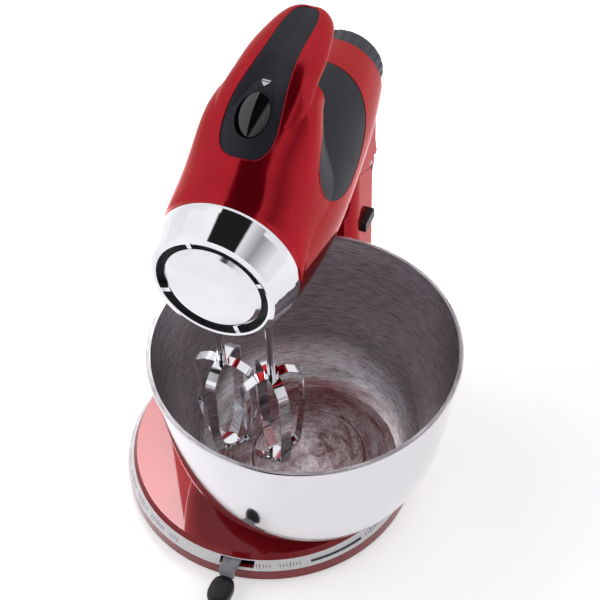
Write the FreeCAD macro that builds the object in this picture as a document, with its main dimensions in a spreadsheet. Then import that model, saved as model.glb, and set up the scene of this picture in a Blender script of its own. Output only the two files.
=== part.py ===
import FreeCAD, Part
import math
import os
import re
import Sketcher

V = FreeCAD.Vector
doc = FreeCAD.newDocument("stand_mixer")
dim = doc.addObject("Spreadsheet::Sheet", "dim")

# Driving sizes in millimetres: +Z up, front towards -Y, origin under the middle of the round base.
SIZES = [
    ("base_radius", 119, "round base"),
    ("base_top", 27, "top face of the base"),
    ("base_edge", 4, "lower edge of the base shell"),
    ("base_wall", 3, "base shell thickness"),
    ("band_low", 15, "lower edge of the sloped rim band"),
    ("band_high", 23, "upper edge of the sloped rim band"),
    ("band_width", 5.5, "radial width of the rim band"),
    ("band_thick", 1, "guide band thickness"),
    ("seat_gap", 0.25, "clearance round a seated trim piece"),
    ("run_gap", 0.6, "clearance round a moving piece"),
    ("foot_height", 3, "rubber foot"),
    ("foot_radius", 9, "rubber foot"),
    ("foot_circle", 92, "circle of the front feet"),
    ("rear_half", 40, "half width of the base under the column"),
    ("rear_end", 176, "rear end of the base"),
    ("column_half", 31, "half width of the column"),
    ("column_front", 115, "front face of the column"),
    ("column_rear", 168, "rear face of the column"),
    ("column_wall", 3.5, "column shell thickness"),
    ("hinge_back", 158, "tilt hinge distance behind the origin"),
    ("hinge_height", 206, "tilt hinge height"),
    ("barrel_radius", 9, "hinge knuckle"),
    ("pin_radius", 4, "hinge pin"),
    ("knuckle_half", 14, "half width of the middle knuckle"),
    ("split_slope", 0.5, "rise of the column split towards the front"),
    ("axis_height", 283, "motor axis"),
    ("shell_wall", 2.6, "head housing thickness"),
    ("parting_drop", 22, "housing parting plane below the motor axis"),
    ("body_front", 46, "front end of the red housing ahead of the origin"),
    ("body_rear", 163, "rear end of the red housing"),
    ("body_radius", 55.5, "largest radius of the head"),
    ("nose_radius", 52, "radius where the bright nose meets the housing"),
    ("tail_radius", 35.5, "radius at the rear end"),
    ("nose_face", 74, "front face of the nose ahead of the origin"),
    ("bezel_radius", 46, "front edge of the nose"),
    ("slot_radius", 40.5, "outer edge of the air slot"),
    ("medal_radius", 35, "front medallion"),
    ("handle_clear", 44.5, "handle top above the head's largest radius"),
    ("handle_rise", "=body_radius + handle_clear", "handle top above the motor axis"),
    ("handle_thick", 20, "handle depth at its root"),
    ("handle_half", 30, "half width of the handle"),
    ("handle_end", 115, "rear end of the handle"),
    ("inlay_deep", 3, "soft grip inlay depth"),
    ("panel_deep", 1.8, "saddle panel depth"),
    ("button_long", 23, "eject button across"),
    ("button_wide", 27, "eject button front to back"),
    ("button_proud", 3.2, "eject button above the grip"),
    ("eject_travel", 5, "eject button stroke"),
    ("dial_radius", 29.5, "speed dial"),
    ("dial_deep", 23, "speed dial depth"),
    ("bowl_right", 38, "bowl centre to the right of the base centre"),
    ("bowl_ahead", 10, "bowl centre ahead of the base centre"),
    ("bowl_radius", 117.5, "bowl rim"),
    ("bowl_height", 138, "bowl depth over all"),
    ("bowl_foot", 72, "flat bottom of the bowl"),
    ("bowl_wall", 1, "bowl sheet"),
    ("table_radius", 76, "turntable"),
    ("table_thick", 7, "turntable"),
    ("table_lift", 1, "turntable above the base"),
    ("lever_right", 14, "lever pivot to the right"),
    ("lever_inset", 29, "lever pivot inside the rim of the base"),
    ("lever_ahead", "=base_radius - lever_inset", "lever pivot ahead of the base centre"),
    ("lever_reach", 43, "lever pivot to the knob"),
    ("lever_wide", 12, "lever arm"),
    ("lever_thick", 3, "lever arm"),
    ("lever_level", 18, "underside of the lever"),
    ("lever_swing", 20, "lever swing in degrees"),
    ("post_radius", 6, "turntable post"),
    ("beater_apart", 20, "beater axis from the middle"),
    ("beater_ahead", 32, "beater axis ahead of the origin"),
    ("beater_wide", 48, "beater cage"),
    ("beater_top", 158, "top of the cage"),
    ("beater_low", 56, "bottom of the cage"),
    ("blade_wide", 8, "beater blade"),
    ("blade_thick", 1.3, "beater blade"),
    ("stem_radius", 3, "beater stem"),
    ("stem_top", 268, "upper end of the beater stem"),
    ("spindle_radius", 7, "hollow spindle"),
    ("spindle_low", 226, "lower end of the spindle"),
    ("spindle_top", 301, "upper end of the spindle"),
    ("wheel_thick", 8, "worm wheel"),
    ("worm_radius", 5.4, "worm"),
    ("worm_gap", 0.5, "worm to wheel clearance"),
    ("shaft_radius", 4, "armature shaft"),
    ("fit_gap", 0.05, "running fit of a shaft in its bearing"),
    ("rotor_radius", 18, "armature core"),
    ("air_gap", 0.8, "armature to stator"),
    ("stator_radius", 31, "stator"),
    ("motor_front", 36, "front of the stator"),
    ("motor_long", 32, "stator stack"),
    ("lock_height", 164, "tilt release on the column"),
    ("lock_back", 139, "tilt release on the column"),
]
for row, (alias, value, note) in enumerate(SIZES, 1):
    dim.set(f"A{row}", note)
    dim.set(f"B{row}", str(value))
    dim.setAlias(f"B{row}", alias)
doc.recompute()

NAME = re.compile(r"\b([a-z]+_[a-z_]+)\b")
nodes = {}


def bound(text):
    return NAME.sub(r"dim.\1", str(text))


def val(text):
    result = dim.evalExpression(bound(text))
    return float(getattr(result, "Value", result))


def place(obj, x="0", y="0", z="0", turn=None):
    rotation = FreeCAD.Rotation(V(*turn[0]), turn[1]) if turn else FreeCAD.Rotation()
    obj.Placement = FreeCAD.Placement(V(val(x), val(y), val(z)), rotation)
    for letter, text in zip("xyz", (x, y, z)):
        if NAME.search(str(text)):
            obj.setExpression("Placement.Base." + letter, bound(text))
    return obj


def bind(obj, **sizes):
    for name, text in sizes.items():
        setattr(obj, name, val(text))
        obj.setExpression(name, bound(text))
    return obj


def node(label, obj):
    obj.Label = label
    nodes[label] = obj
    return obj


ALONG_Y = ((1, 0, 0), -90)
ALONG_X = ((0, 1, 0), 90)


def cylinder(radius, height, x="0", y="0", z="0", turn=None):
    return place(bind(doc.addObject("Part::Cylinder", "round_bar"), Radius=radius, Height=height), x, y,
                 z, turn)


def block(length, width, height, x="0", y="0", z="0", turn=None):
    solid = bind(doc.addObject("Part::Box", "block"), Length=length, Width=width, Height=height)
    return place(solid, x, y, z, turn)


def fuse(*pieces):
    joined = doc.addObject("Part::MultiFuse", "joined")
    joined.Shapes = list(pieces)
    return joined


def cut(base, *tools):
    result = doc.addObject("Part::Cut", "cut")
    result.Base = base
    result.Tool = tools[0] if len(tools) == 1 else fuse(*tools)
    return result


def common(first, second):
    result = doc.addObject("Part::Common", "shared")
    result.Base = first
    result.Tool = second
    return result


def shaped(shape):
    free = doc.addObject("Part::Feature", "formed")
    free.Shape = shape
    return free


def outline(body, role, points):
    """A closed line outline whose corners are all tied to the size sheet."""
    sketch = body.newObject("Sketcher::SketchObject", "outline")
    plane = [f for f in body.Origin.OriginFeatures if f.Role == role][0]
    sketch.AttachmentSupport = [(plane, "")]
    sketch.MapMode = "FlatFace"
    spots = [V(val(a), val(b), 0) for a, b in points]
    count = len(spots)
    for i in range(count):
        sketch.addGeometry(Part.LineSegment(spots[i], spots[(i + 1) % count]))
    for i in range(count):
        sketch.addConstraint(Sketcher.Constraint("Coincident", i, 2, (i + 1) % count, 1))
    for i, pair in enumerate(points):
        for kind, axis, text, spot in zip(("DistanceX", "DistanceY"), (-2, -1), pair,
                                          (spots[i].x, spots[i].y)):
            if abs(spot) < 1e-9:
                sketch.addConstraint(Sketcher.Constraint("PointOnObject", i, 1, axis))
                continue
            order = (-1, 1, i, 1) if spot > 0 else (i, 1, -1, 1)
            number = sketch.addConstraint(Sketcher.Constraint(kind, *order, abs(spot)))
            text = text if spot > 0 else f"-({text})"
            sketch.setExpression(f"Constraints[{number}]", bound(text))
    return sketch


def turned(points, x="0", y="0", z="0", turn=None):
    """A lathe-turned piece: radius and height pairs spun round the vertical."""
    body = doc.addObject("PartDesign::Body", "turned")
    spin = body.newObject("PartDesign::Revolution", "spin")
    spin.Profile = outline(body, "XZ_Plane", points)
    spin.ReferenceAxis = (spin.Profile[0], ["V_Axis"])
    spin.Angle = 360
    doc.recompute()
    return place(body, x, y, z, turn)


def padded(points, height, x="0", y="0", z="0", turn=None, round_edges=None):
    """A flat outline raised to a height, its upright edges rounded."""
    body = doc.addObject("PartDesign::Body", "padded")
    pad = body.newObject("PartDesign::Pad", "raise")
    pad.Profile = outline(body, "XY_Plane", points)
    bind(pad, Length=height)
    doc.recompute()
    if round_edges:
        upright = []
        for i, edge in enumerate(pad.Shape.Edges, 1):
            if abs(edge.tangentAt(edge.FirstParameter).z) > 0.99:
                upright.append(f"Edge{i}")
        fillet = body.newObject("PartDesign::Fillet", "corners")
        fillet.Base = (pad, upright)
        bind(fillet, Radius=round_edges)
        doc.recompute()
    return place(body, x, y, z, turn)


def half_box(half, front, rear, low, high):
    return block(f"2 * ({half})", f"({rear}) - ({front})", f"({high}) - ({low})", f"-({half})", front,
                 low)


def rect(half, front, rear):
    return [(f"-({half})", front), (half, front), (half, rear), (f"-({half})", rear)]


# Base: a round shell with a rear block for the column, a sloped rim for the guide band and a lever slot.
def base_form(inset, low, high):
    rim = [
        ("0", low),
        (f"base_radius - {inset}", low),
        (f"base_radius - {inset}", f"band_low - {inset} * 0.4"),
        (f"base_radius - band_width - {inset}", f"band_high - {inset} * 0.4"),
        (f"base_radius - band_width - 3 - {inset}", high),
        ("0", high),
    ]
    rear = padded(rect(f"rear_half - {inset}", "60", f"rear_end - {inset}"), f"({high}) - ({low})",
                  z=low, round_edges=f"14 - {inset}")
    return fuse(turned(rim), rear)


band_face = [
    ("base_radius + 0.01", "band_low"),
    ("base_radius + 2", "band_low"),
    ("base_radius + 2", "band_high"),
    ("base_radius - band_width", "band_high"),
    ("base_radius - band_width - band_thick", "band_high - band_thick * 0.3"),
    ("base_radius - band_thick", "band_low - band_thick * 0.3 + 0.3"),
]
slot_front = block("lever_wide + 15", "28", "lever_thick + 2.4", "lever_right - lever_wide / 2 - 3",
                   "-base_radius - 4", "lever_level - 1.2")
sweep = "(sqrt((bowl_right - lever_right)^2 + (lever_ahead - bowl_ahead)^2))"


def post_slot(reach, angle_extra):
    ring = cylinder(f"{sweep} + post_radius + {reach}", "20", "lever_right", "-lever_ahead",
                    "base_top - 10",
                    ((0, 0, 1), math.degrees(math.atan2(val("lever_ahead - bowl_ahead"),
                                                        val("bowl_right - lever_right"))) - angle_extra))
    bind(ring, Angle=f"lever_swing + {2 * angle_extra}")
    core = cylinder(f"{sweep} - post_radius - {reach}", "22", "lever_right", "-lever_ahead",
                    "base_top - 11")
    return cut(ring, core)


base_hollow = base_form("base_wall", "base_edge - 1", "base_top - base_wall")
base_shell = node("base_shell", cut(base_form("0", "base_edge", "base_top"), base_hollow,
                                    turned(band_face),
                                    slot_front, post_slot("1.5", 7)))
band_ring = turned([
    ("base_radius - seat_gap", "band_low + 0.35"),
    ("base_radius - band_width - 0.1", "band_high - 0.1"),
    ("base_radius - band_width - band_thick + 0.25", "band_high - band_thick * 0.3 - 0.05"),
    ("base_radius - band_thick + 0.15", "band_low + 0.25"),
])
node("guide_band", cut(band_ring, half_box("rear_half + seat_gap", "60", "200", "0", "60"), slot_front))
plate_disc = cylinder("base_radius - base_wall - 2 * seat_gap", "2", z="base_edge - 1")
plate_rear = padded(rect("rear_half - base_wall - seat_gap", "60", "rear_end - base_wall - seat_gap"),
                    "2",
                    z="base_edge - 1", round_edges="11")
plate_bosses = [(64, 72), (-64, 72), (36, -98), (-36, -98)]
screw_holes = [cylinder("2", "8", x, y, "base_edge - 4") for x, y in plate_bosses]
node("base_cover", cut(fuse(plate_disc, plate_rear), *screw_holes))
node("base_screws", fuse(*[fuse(cylinder("3.6", "1.2", x, y, "base_edge - 2.2"),
                                cylinder("1.8", "7", x, y, "base_edge - 1.1")) for x, y in plate_bosses]))
foot_spots = [(f"foot_circle * {math.sin(a):.5f}", f"-foot_circle * {math.cos(a):.5f}")
              for a in (0.75, -0.75, 1.75, -1.75)]
foot_spots += [("0", "0"), ("rear_half - 16", "rear_end - 16"), ("16 - rear_half", "rear_end - 16")]
foot_form = [("0", "0"), ("foot_radius - 1", "0"), ("foot_radius", "1"), ("foot_radius", "foot_height"),
             ("0", "foot_height")]
node("rubber_feet", fuse(*[turned(foot_form, x, y) for x, y in foot_spots]))

# Lever and turntable: the lever swings on a pin in the base and carries the turntable post across the base.
pin_high = "base_top - base_wall"
node("lever_pin", cylinder("3", f"{pin_high} - base_edge - 1", "lever_right", "-lever_ahead",
                           "base_edge + 1"))
arm_front = padded([("-lever_wide / 2", "-lever_reach + 8"), ("lever_wide / 2", "-lever_reach + 8"),
                    ("lever_wide / 2 + 3", "8"), ("-lever_wide / 2 - 3", "8")], "lever_thick",
                   "lever_right", "-lever_ahead", "lever_level")
arm_turn = math.degrees(math.atan2(val("bowl_right - lever_right"), val("lever_ahead - bowl_ahead")))
arm_rear = padded([("-9", "-8"), ("9", "-8"), ("12", sweep), ("8", f"{sweep} + 11"),
                   ("-8", f"{sweep} + 11"),
                   ("-12", sweep)], "lever_thick", "lever_right", "-lever_ahead", "lever_level",
                  ((0, 0, 1), -arm_turn))
arm_hole = cylinder("3 + fit_gap", "20", "lever_right", "-lever_ahead", "lever_level - 8")
arm_drop = block("lever_wide", "lever_thick", "9", "lever_right - lever_wide / 2",
                 "-lever_ahead - lever_reach + 8", "lever_level - 6")
node("shift_lever", cut(fuse(arm_front, arm_rear, arm_drop), arm_hole))
knob = padded([("-9.5", "-9"), ("-6.5", "-14"), ("0", "-16"), ("6.5", "-14"), ("9.5", "-9"), ("9.5", "9"),
               ("-9.5", "9")], "9",
              "lever_right", "-lever_ahead - lever_reach", "lever_level - 13", round_edges="2.5")
knob_pocket = block("lever_wide + 0.2", "lever_thick + 0.2", "10", "lever_right - lever_wide / 2 - 0.1",
                    "-lever_ahead - lever_reach + 7.9", "lever_level - 6.1")
node("lever_knob", cut(knob, knob_pocket))
node("turntable_post", turned([
    ("0", "lever_level + lever_thick"), ("post_radius", "lever_level + lever_thick"),
    ("post_radius", "base_top + table_lift"), ("4", "base_top + table_lift"),
    ("4", "base_top + table_lift + 5"), ("0", "base_top + table_lift + 5")], "bowl_right", "-bowl_ahead"))
table_low = "base_top + table_lift"
table_high = "base_top + table_lift + table_thick"
node("turntable", turned([
    ("7", f"{table_low} + 0.5"), ("14", f"{table_low} + 0.5"), ("16", f"{table_low} + 3"),
    ("table_radius - 8", f"{table_low} + 3"), ("table_radius - 7", f"{table_low} + 0.5"),
    ("table_radius - 1", f"{table_low} + 0.5"), ("table_radius", f"{table_low} + 1.5"),
    ("table_radius", f"{table_high} - 1"), ("table_radius - 1", table_high), ("7", table_high)],
                         "bowl_right", "-bowl_ahead"))
node("turntable_bush", turned([
    ("4 + fit_gap", f"{table_low} + 0.3"), ("6.9", f"{table_low} + 0.3"), ("6.9", f"{table_high} - 0.4"),
    ("4 + fit_gap", f"{table_high} - 0.4")], "bowl_right", "-bowl_ahead"))


# Bowl: one spun sheet with a foot step, curved walls and a rolled lip.
def bowl_shape():
    foot, rim, tall, wall = val("bowl_foot"), val("bowl_radius"), val("bowl_height"), val("bowl_wall")
    outer = [(foot, 0.0), (foot + 0.09 * rim, 0.036 * tall), (foot + 0.2 * rim, 0.16 * tall),
             (foot + 0.30 * rim, 0.45 * tall), (rim - 4.5, 0.82 * tall), (rim - 2.6, tall - 2.4)]
    inner = [(r - wall, z + (wall if i < 3 else 0.12)) for i, (r, z) in enumerate(outer)]
    inner[0] = (foot - 1, wall)

    def spline(points):
        curve = Part.BSplineCurve()
        curve.interpolate([V(r, 0, z) for r, z in points])
        return curve.toShape()

    step = foot * 0.62
    floor_under = [V(foot, 0, 0), V(step + 2, 0, 0), V(step, 0, 1.6), V(0, 0, 1.6)]
    floor_over = [V(0, 0, 1.6 + wall), V(step - 0.4, 0, 1.6 + wall), V(step + 1.6, 0, wall),
                  V(foot - 1, 0, wall)]
    lip_end = V(rim - 2.6, 0, tall - 2.4)
    lip_in = V(inner[-1][0], 0, inner[-1][1])
    lip = [Part.Arc(lip_end, V(rim, 0, tall - 1.6), V(rim - 1.6, 0, tall)).toShape(),
           Part.makeLine(V(rim - 1.6, 0, tall), V(lip_in.x, 0, tall)),
           Part.makeLine(V(lip_in.x, 0, tall), lip_in)]
    lines = [Part.makePolygon(floor_under + floor_over).Edges, [spline(outer)], lip, [spline(inner)]]
    edges = Part.sortEdges([e for group in lines for e in group])[0]
    return Part.Face(Part.Wire(edges)).revolve(V(0, 0, 0), V(0, 0, 1), 360)


bowl = node("bowl", shaped(bowl_shape()))
place(bowl, "bowl_right", "-bowl_ahead", f"{table_high} + 0.05")

# Column: a rounded tube with a sloped top, outer hinge knuckles and a tilt release in its right side.


def knuckle(radius, left, right):
    return cylinder(radius, f"({right}) - ({left})", left, "hinge_back", "hinge_height", ALONG_X)


def split_side(offset):
    """The prism above the sloped split, shifted up by an offset."""
    front = "hinge_back - column_front + 40"
    points = [("-(" + front + ")", f"({front}) * split_slope + {offset}"),
              ("60", f"-60 * split_slope + {offset}"),
              ("60", "300"), ("-(" + front + ")", "300")]
    body = doc.addObject("PartDesign::Body", "split")
    pad = body.newObject("PartDesign::Pad", "raise")
    pad.Profile = outline(body, "YZ_Plane", points)
    pad.Midplane = True
    bind(pad, Length="4 * column_half")
    doc.recompute()
    return place(body, "0", "hinge_back", "hinge_height")


def column_form(inset, high, offset):
    tube = padded(rect(f"column_half - {inset}", f"column_front + {inset}", f"column_rear - {inset}"),
                  f"{high}", z="base_top + 0.05", round_edges=f"13 - {inset}")
    return cut(tube, split_side(offset))


column_solid = cut(column_form("0", "hinge_height", "0"),
                   column_form("column_wall", "hinge_height", "-12"))
left_knuckle = knuckle("barrel_radius", "-column_half + 2", "-knuckle_half - 0.3")
right_knuckle = knuckle("barrel_radius", "knuckle_half + 0.3", "column_half - 2")
middle_room = knuckle("barrel_radius + run_gap", "-knuckle_half - 0.3", "knuckle_half + 0.3")
lock_window = block("14", "20.8", "9.8", "column_half - 12", "lock_back - 10.4", "lock_height - 4.9")
node("column_shell", cut(fuse(column_solid, left_knuckle, right_knuckle), middle_room, lock_window,
                         knuckle("pin_radius + fit_gap", "-60", "60")))
node("hinge_pin", knuckle("pin_radius", "-column_half + 2", "column_half - 2"))
node("tilt_release", fuse(block("13", "20", "9", "column_half - 8", "lock_back - 10",
                                "lock_height - 4.5"),
                          block("16", "8", "6", "column_half - 24", "lock_back - 4", "lock_height - 3")))
node("release_guide", cut(block("26 - column_wall - 0.4", "27", "19", "column_half - 26",
                                "lock_back - 13.5", "lock_height - 9.5"),
                          block("12", "8.6", "6.6", "column_half - 27", "lock_back - 4.3",
                                "lock_height - 3.3"),
                          block("30", "20.8", "9.8", "column_half - 16", "lock_back - 10.4",
                                "lock_height - 4.9")))


# Head: a tapered round housing along the motor axis with a handle rising from its shoulders.
AXIS = V(0, 0, val("axis_height"))


def torpedo(shrink, front, rear):
    ahead, back = val("body_front"), val("body_rear")
    big, nose, tail = val("body_radius"), val("nose_radius"), val("tail_radius")
    shape = [(-ahead, nose), (-10, big - 0.2), (28, big - 0.4), (80, 0.77 * big + 0.2 * tail),
             (120, 0.53 * big + 0.42 * tail), (150, 0.18 * big + 0.8 * tail), (back, tail)]
    curve = Part.BSplineCurve()
    curve.interpolate([V(0, y, r - shrink) for y, r in shape])
    ends = [Part.makeLine(V(0, back, tail - shrink), V(0, back, 0)),
            Part.makeLine(V(0, back, 0), V(0, -ahead, 0)),
            Part.makeLine(V(0, -ahead, 0), V(0, -ahead, nose - shrink))]
    face = Part.Face(Part.Wire([curve.toShape()] + ends))
    solid = face.revolve(V(0, 0, 0), V(0, 1, 0), 360)
    solid.translate(AXIS)
    if front is None:
        return solid
    trim = Part.makeBox(300, rear - front, 300, V(-150, front, val("axis_height") - 150))
    return solid.common(trim)


def ring_section(y, points):
    """A closed smooth section from half-width and height pairs, mirrored about the middle."""
    right = [V(w, y, z) for w, z in points if w > 0]
    ends = [V(0, y, z) for w, z in points if w == 0]
    left = [V(-p.x, p.y, p.z) for p in reversed(right)]
    curve = Part.BSplineCurve()
    curve.interpolate([ends[0]] + right + [ends[1]] + left, PeriodicFlag=True)
    return Part.Wire(curve.toShape())


def handle_shape(lower, inset=0.0):
    """The handle root and arm, lowered for the grip's pit or drawn in for the saddle panel's pit."""
    rise, half, end = val("handle_rise"), val("handle_half"), val("handle_end")
    mid, thick, big = val("axis_height") - lower, val("handle_thick"), val("body_radius")
    roots = [(-45, 51, 0.74, 28, 0.45, 44), (-24, 64, 0.835, 33, 0.56, 53), (-4, 79, 0.855, 37, 0.66, 62),
             (14, 90, 0.83, 44, 0.68, 74), (32, 95.2, 0.74, 46, 0.655, 79), (48, 97, 0.57, 46, 0.6, 82)]
    sections = []
    for y, top, waist, waist_at, shoulder, shoulder_at in roots:
        scale = rise / 100.0
        sections.append(ring_section(y, [
            (0, mid + 4), (0.945 * big - inset, mid + 9),
            (waist * big - inset, mid + waist_at * scale - 0.3 * inset),
            (shoulder * big - 0.8 * inset, mid + shoulder_at * scale - 0.7 * inset),
            (0, mid + top * scale - inset)]))
    root = Part.makeLoft(sections, True, False)
    arms = [(-14, 66, 0.8, 0.9), (6, 82, 0.98, 0.95), (22, 91.5, 1.07, 1.0), (38, 96, 1.03, 1.0),
            (56, 99, 0.97, 0.95),
            (80, 100, 0.88, 0.85), (0.87 * end, 100, 0.72, 0.74), (0.965 * end, 99.3, 0.52, 0.62),
            (end, 98, 0.24, 0.4)]
    sections = []
    for y, top, wide, deep in arms:
        top = mid + top * rise / 100.0
        depth, width = thick * deep, half * wide
        sections.append(ring_section(y, [(0, top - depth), (0.62 * width, top - 0.94 * depth),
                                         (width, top - 0.5 * depth), (0.8 * width, top - 0.09 * depth),
                                         (0, top)]))
    arm = Part.makeLoft(sections, True, False)
    return root, arm


def plan_outline(points, low, high):
    """A prism seen from above: half-width pairs along Y, closed smoothly at both ends."""
    right = [V(w, y, low) for w, y in points]
    left = [V(-p.x, p.y, p.z) for p in reversed(right)]
    curve = Part.BSplineCurve()
    curve.interpolate(right + left, PeriodicFlag=True)
    return Part.Face(Part.Wire(curve.toShape())).extrude(V(0, 0, high - low))


def grip_outline(grow):
    end = val("handle_end")
    return plan_outline([(6 + grow, -17 - grow), (14 + grow, -13.5 - grow), (19 + grow, -5),
                         (19.6 + grow, 6),
                         (16.5 + grow, 28), (13.5 + grow, 52), (12.5 + grow, 80),
                         (10.5 + grow, 0.88 * end),
                         (6 + grow, 0.955 * end + grow)], 300, 420)


def panel_outline(grow):
    """The saddle panel's oval as seen from the side, tilted up to the rear."""
    oval = Part.Ellipse(V(0, 0, 0), 61 + grow, 34.5 + grow).toShape()
    prism = Part.Face(Part.Wire(oval)).extrude(V(0, 0, 200))
    spin = FreeCAD.Rotation(V(1, 0, 0), 6).multiply(FreeCAD.Rotation(V(0, 1, 1), 0))
    turn = FreeCAD.Rotation(V(0, 1, 0), V(0, 0, 1), V(1, 0, 0), "ZXY")
    prism.Placement = FreeCAD.Placement(V(-100, 66, val("axis_height") + 41), spin.multiply(turn))
    return prism


def button_outline(grow, low, high):
    long, wide = val("button_long") / 2 + grow, val("button_wide") / 2 + grow
    middle = V(0, 7.5, low)
    axes = sorted([V(long, 0, 0), V(0, wide, 0)], key=lambda reach: -reach.Length)
    oval = Part.Ellipse(middle + axes[0], middle + axes[1], middle).toShape()
    return Part.Face(Part.Wire(oval)).extrude(V(0, 0, high - low))


deep = val("inlay_deep")
root_top, arm_top = handle_shape(0)
handle_top = root_top.fuse(arm_top)
root_low, arm_low = handle_shape(deep + 0.7)
handle_low = root_low.fuse(arm_low)
outer = torpedo(0, None, None)
cavity = torpedo(val("shell_wall"), -val("body_front") - 1, val("body_rear") - val("shell_wall"))
part_level = val("axis_height - parting_drop")
upper_room = Part.makeBox(400, 400, 300, V(-200, -150, part_level))
lower_room = Part.makeBox(400, 400, 300, V(-200, -150, part_level - 300.05))

throat_low = val("axis_height + body_radius - 5")
throat_high = val("axis_height + handle_rise - handle_thick - 5")
throat_radius = (throat_high - throat_low) / 2
throat = Part.makeCylinder(throat_radius, 200, V(-100, 45, throat_low + throat_radius), V(1, 0, 0))
throat = throat.fuse(Part.makeBox(200, 60, 2 * throat_radius, V(-100, 45, throat_low)))
throat = throat.cut(arm_top)


def drawn_in(depth):
    root, _ = handle_shape(0, depth)
    return torpedo(depth, None, None).fuse(root.cut(throat))


panel_skin = outer.fuse(root_top.cut(throat)).cut(drawn_in(val("panel_deep")))
saddle = panel_skin.common(panel_outline(0)).cut(arm_top)
panel_pit = panel_outline(0.35).cut(drawn_in(val("panel_deep + seat_gap"))).cut(arm_top)
saddle_solid = sorted(saddle.Solids, key=lambda s: -s.Volume)[0]

grip_tool = grip_outline(0)
grip = handle_top.common(grip_tool).cut(handle_top.translated(V(0, 0, -deep)))
grip = sorted(grip.Solids, key=lambda s: -s.Volume)[0]
grip_pit = grip_outline(val("seat_gap") + 0.15).cut(handle_low)

button_room = button_outline(0.5, 300, 420)
rod_room = Part.makeCylinder(4.0, 70, V(0, 9, val("axis_height") + 5))
upper = outer.fuse(handle_top.cut(throat)).common(upper_room).cut(cavity).cut(panel_pit).cut(grip_pit)
button_deep = button_outline(0.5, val("axis_height + 64 - eject_travel - 1.5"), 420)
upper = upper.cut(button_deep).cut(rod_room)
axle_hole = Part.makeCylinder(3.5, 60, V(0, val("body_rear") - 30, val("axis_height")), V(0, 1, 0))
upper = upper.cut(axle_hole)
upper = sorted(upper.removeSplitter().Solids, key=lambda s: -s.Volume)[0]
node("upper_housing", shaped(upper))
node("handle_grip", shaped(grip.cut(button_room)))
node("saddle_panel", shaped(saddle_solid))

# Lower housing with the arm that reaches down to the hinge.
hinge_back, hinge_high = val("hinge_back"), val("hinge_height")
rear_up = [V(-val("column_half"), y, z) for y, z in (
    (val("column_front") - 1,
     hinge_high + (hinge_back - val("column_front") + 1) * val("split_slope") + 0.6),
    (hinge_back, hinge_high + 0.6), (val("column_rear") - 1, hinge_high + 9),
    (val("column_rear") - 3, hinge_high + 17),
    (val("body_rear") + 0.4, hinge_high + 24), (val("body_rear") + 0.4, part_level),
    (val("column_front") - 1, part_level))]
arm_block = Part.Face(Part.makePolygon(rear_up + rear_up[:1])).extrude(V(2 * val("column_half"), 0, 0))
side_room = []
for left, right in ((-40.0, -val("knuckle_half")), (val("knuckle_half"), 40.0)):
    side_room.append(Part.makeCylinder(val("barrel_radius") + 0.6, right - left,
                                       V(left, hinge_back, hinge_high),
                                       V(1, 0, 0)))
middle = Part.makeCylinder(val("barrel_radius"), 2 * val("knuckle_half"),
                           V(-val("knuckle_half"), hinge_back, hinge_high),
                           V(1, 0, 0))
lower = outer.common(lower_room).cut(cavity)
sweep_half = val("column_half") + 1
reach = math.hypot(hinge_back - val("column_front"),
                   (hinge_back - val("column_front")) * val("split_slope")) + 1
sector = [V(-sweep_half, hinge_back + y, hinge_high + z) for y, z in (
    (-reach - 20, (reach + 20) * val("split_slope") + 0.6), (0, 0.6), (30, -15), (30, -80),
    (-reach - 20, -80))]
sector = Part.Face(Part.makePolygon(sector + sector[:1])).extrude(V(2 * sweep_half, 0, 0))
swing = Part.makeCylinder(reach, 2 * sweep_half, V(-sweep_half, hinge_back, hinge_high),
                          V(1, 0, 0)).common(sector)
lower = lower.fuse(arm_block.common(lower_room)).cut(swing)
lower = lower.cut(side_room[0]).cut(side_room[1]).fuse(middle)
lower = lower.cut(Part.makeCylinder(val("pin_radius + fit_gap"), 100, V(-50, hinge_back, hinge_high),
                                    V(1, 0, 0)))
for side in (-1, 1):
    spot = V(side * val("beater_apart"), -val("beater_ahead"), 200)
    lower = lower.cut(Part.makeCylinder(val("spindle_radius + run_gap"), 60, spot))
lower = lower.cut(axle_hole)
lower = sorted(lower.removeSplitter().Solids, key=lambda s: -s.Volume)[0]
node("lower_housing", shaped(lower))


# Nose: a bright flared ring, a dark air slot ring behind it and a plain domed medallion held by ribs.
def axial(points, y="0"):
    return turned(points, "0", y, "axis_height", ALONG_Y)


nose_deep = "nose_face - body_front"
bezel = axial([
    ("slot_radius", "0.6"), ("bezel_radius - 4", "0"), ("bezel_radius - 1", "1.2"), ("bezel_radius", "4"),
    ("bezel_radius + 3", "14"), ("nose_radius - 0.6", f"{nose_deep} - 6"),
    ("nose_radius", f"{nose_deep} - 2"),
    ("nose_radius", f"{nose_deep} - 0.1"), ("nose_radius - 6", f"{nose_deep} - 0.1"),
    ("nose_radius - 6", f"{nose_deep} - 6"), ("slot_radius + 2", "12"), ("slot_radius", "10")],
              "-nose_face")
node("front_bezel", bezel)
rib_set = []
for turn_by in (20, 110, 200, 290):
    rib_set.append(block("slot_radius - medal_radius + 3", "5", "3.4",
                         f"(medal_radius - 1.5) * {math.cos(math.radians(turn_by)):.6f}",
                         "-nose_face + 2.5",
                         f"axis_height + (medal_radius - 1.5) * {math.sin(math.radians(turn_by)):.6f}",
                         ((0, 1, 0), -turn_by)))
medal = axial([("0", "-1.6"), ("4", "-1.6"), ("medal_radius * 0.55", "-1.1"), ("medal_radius - 3", "0.2"),
               ("medal_radius", "2"),
               ("medal_radius", "9"), ("0", "9")], "-nose_face")
slot_wall = axial([("medal_radius + 0.1", "8"), ("slot_radius - 0.1", "8"), ("slot_radius - 0.1", "11"),
                   ("medal_radius - 6", "11"), ("medal_radius - 6", "9.1"),
                   ("medal_radius + 0.1", "9.1")],
                  "-nose_face")
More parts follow.
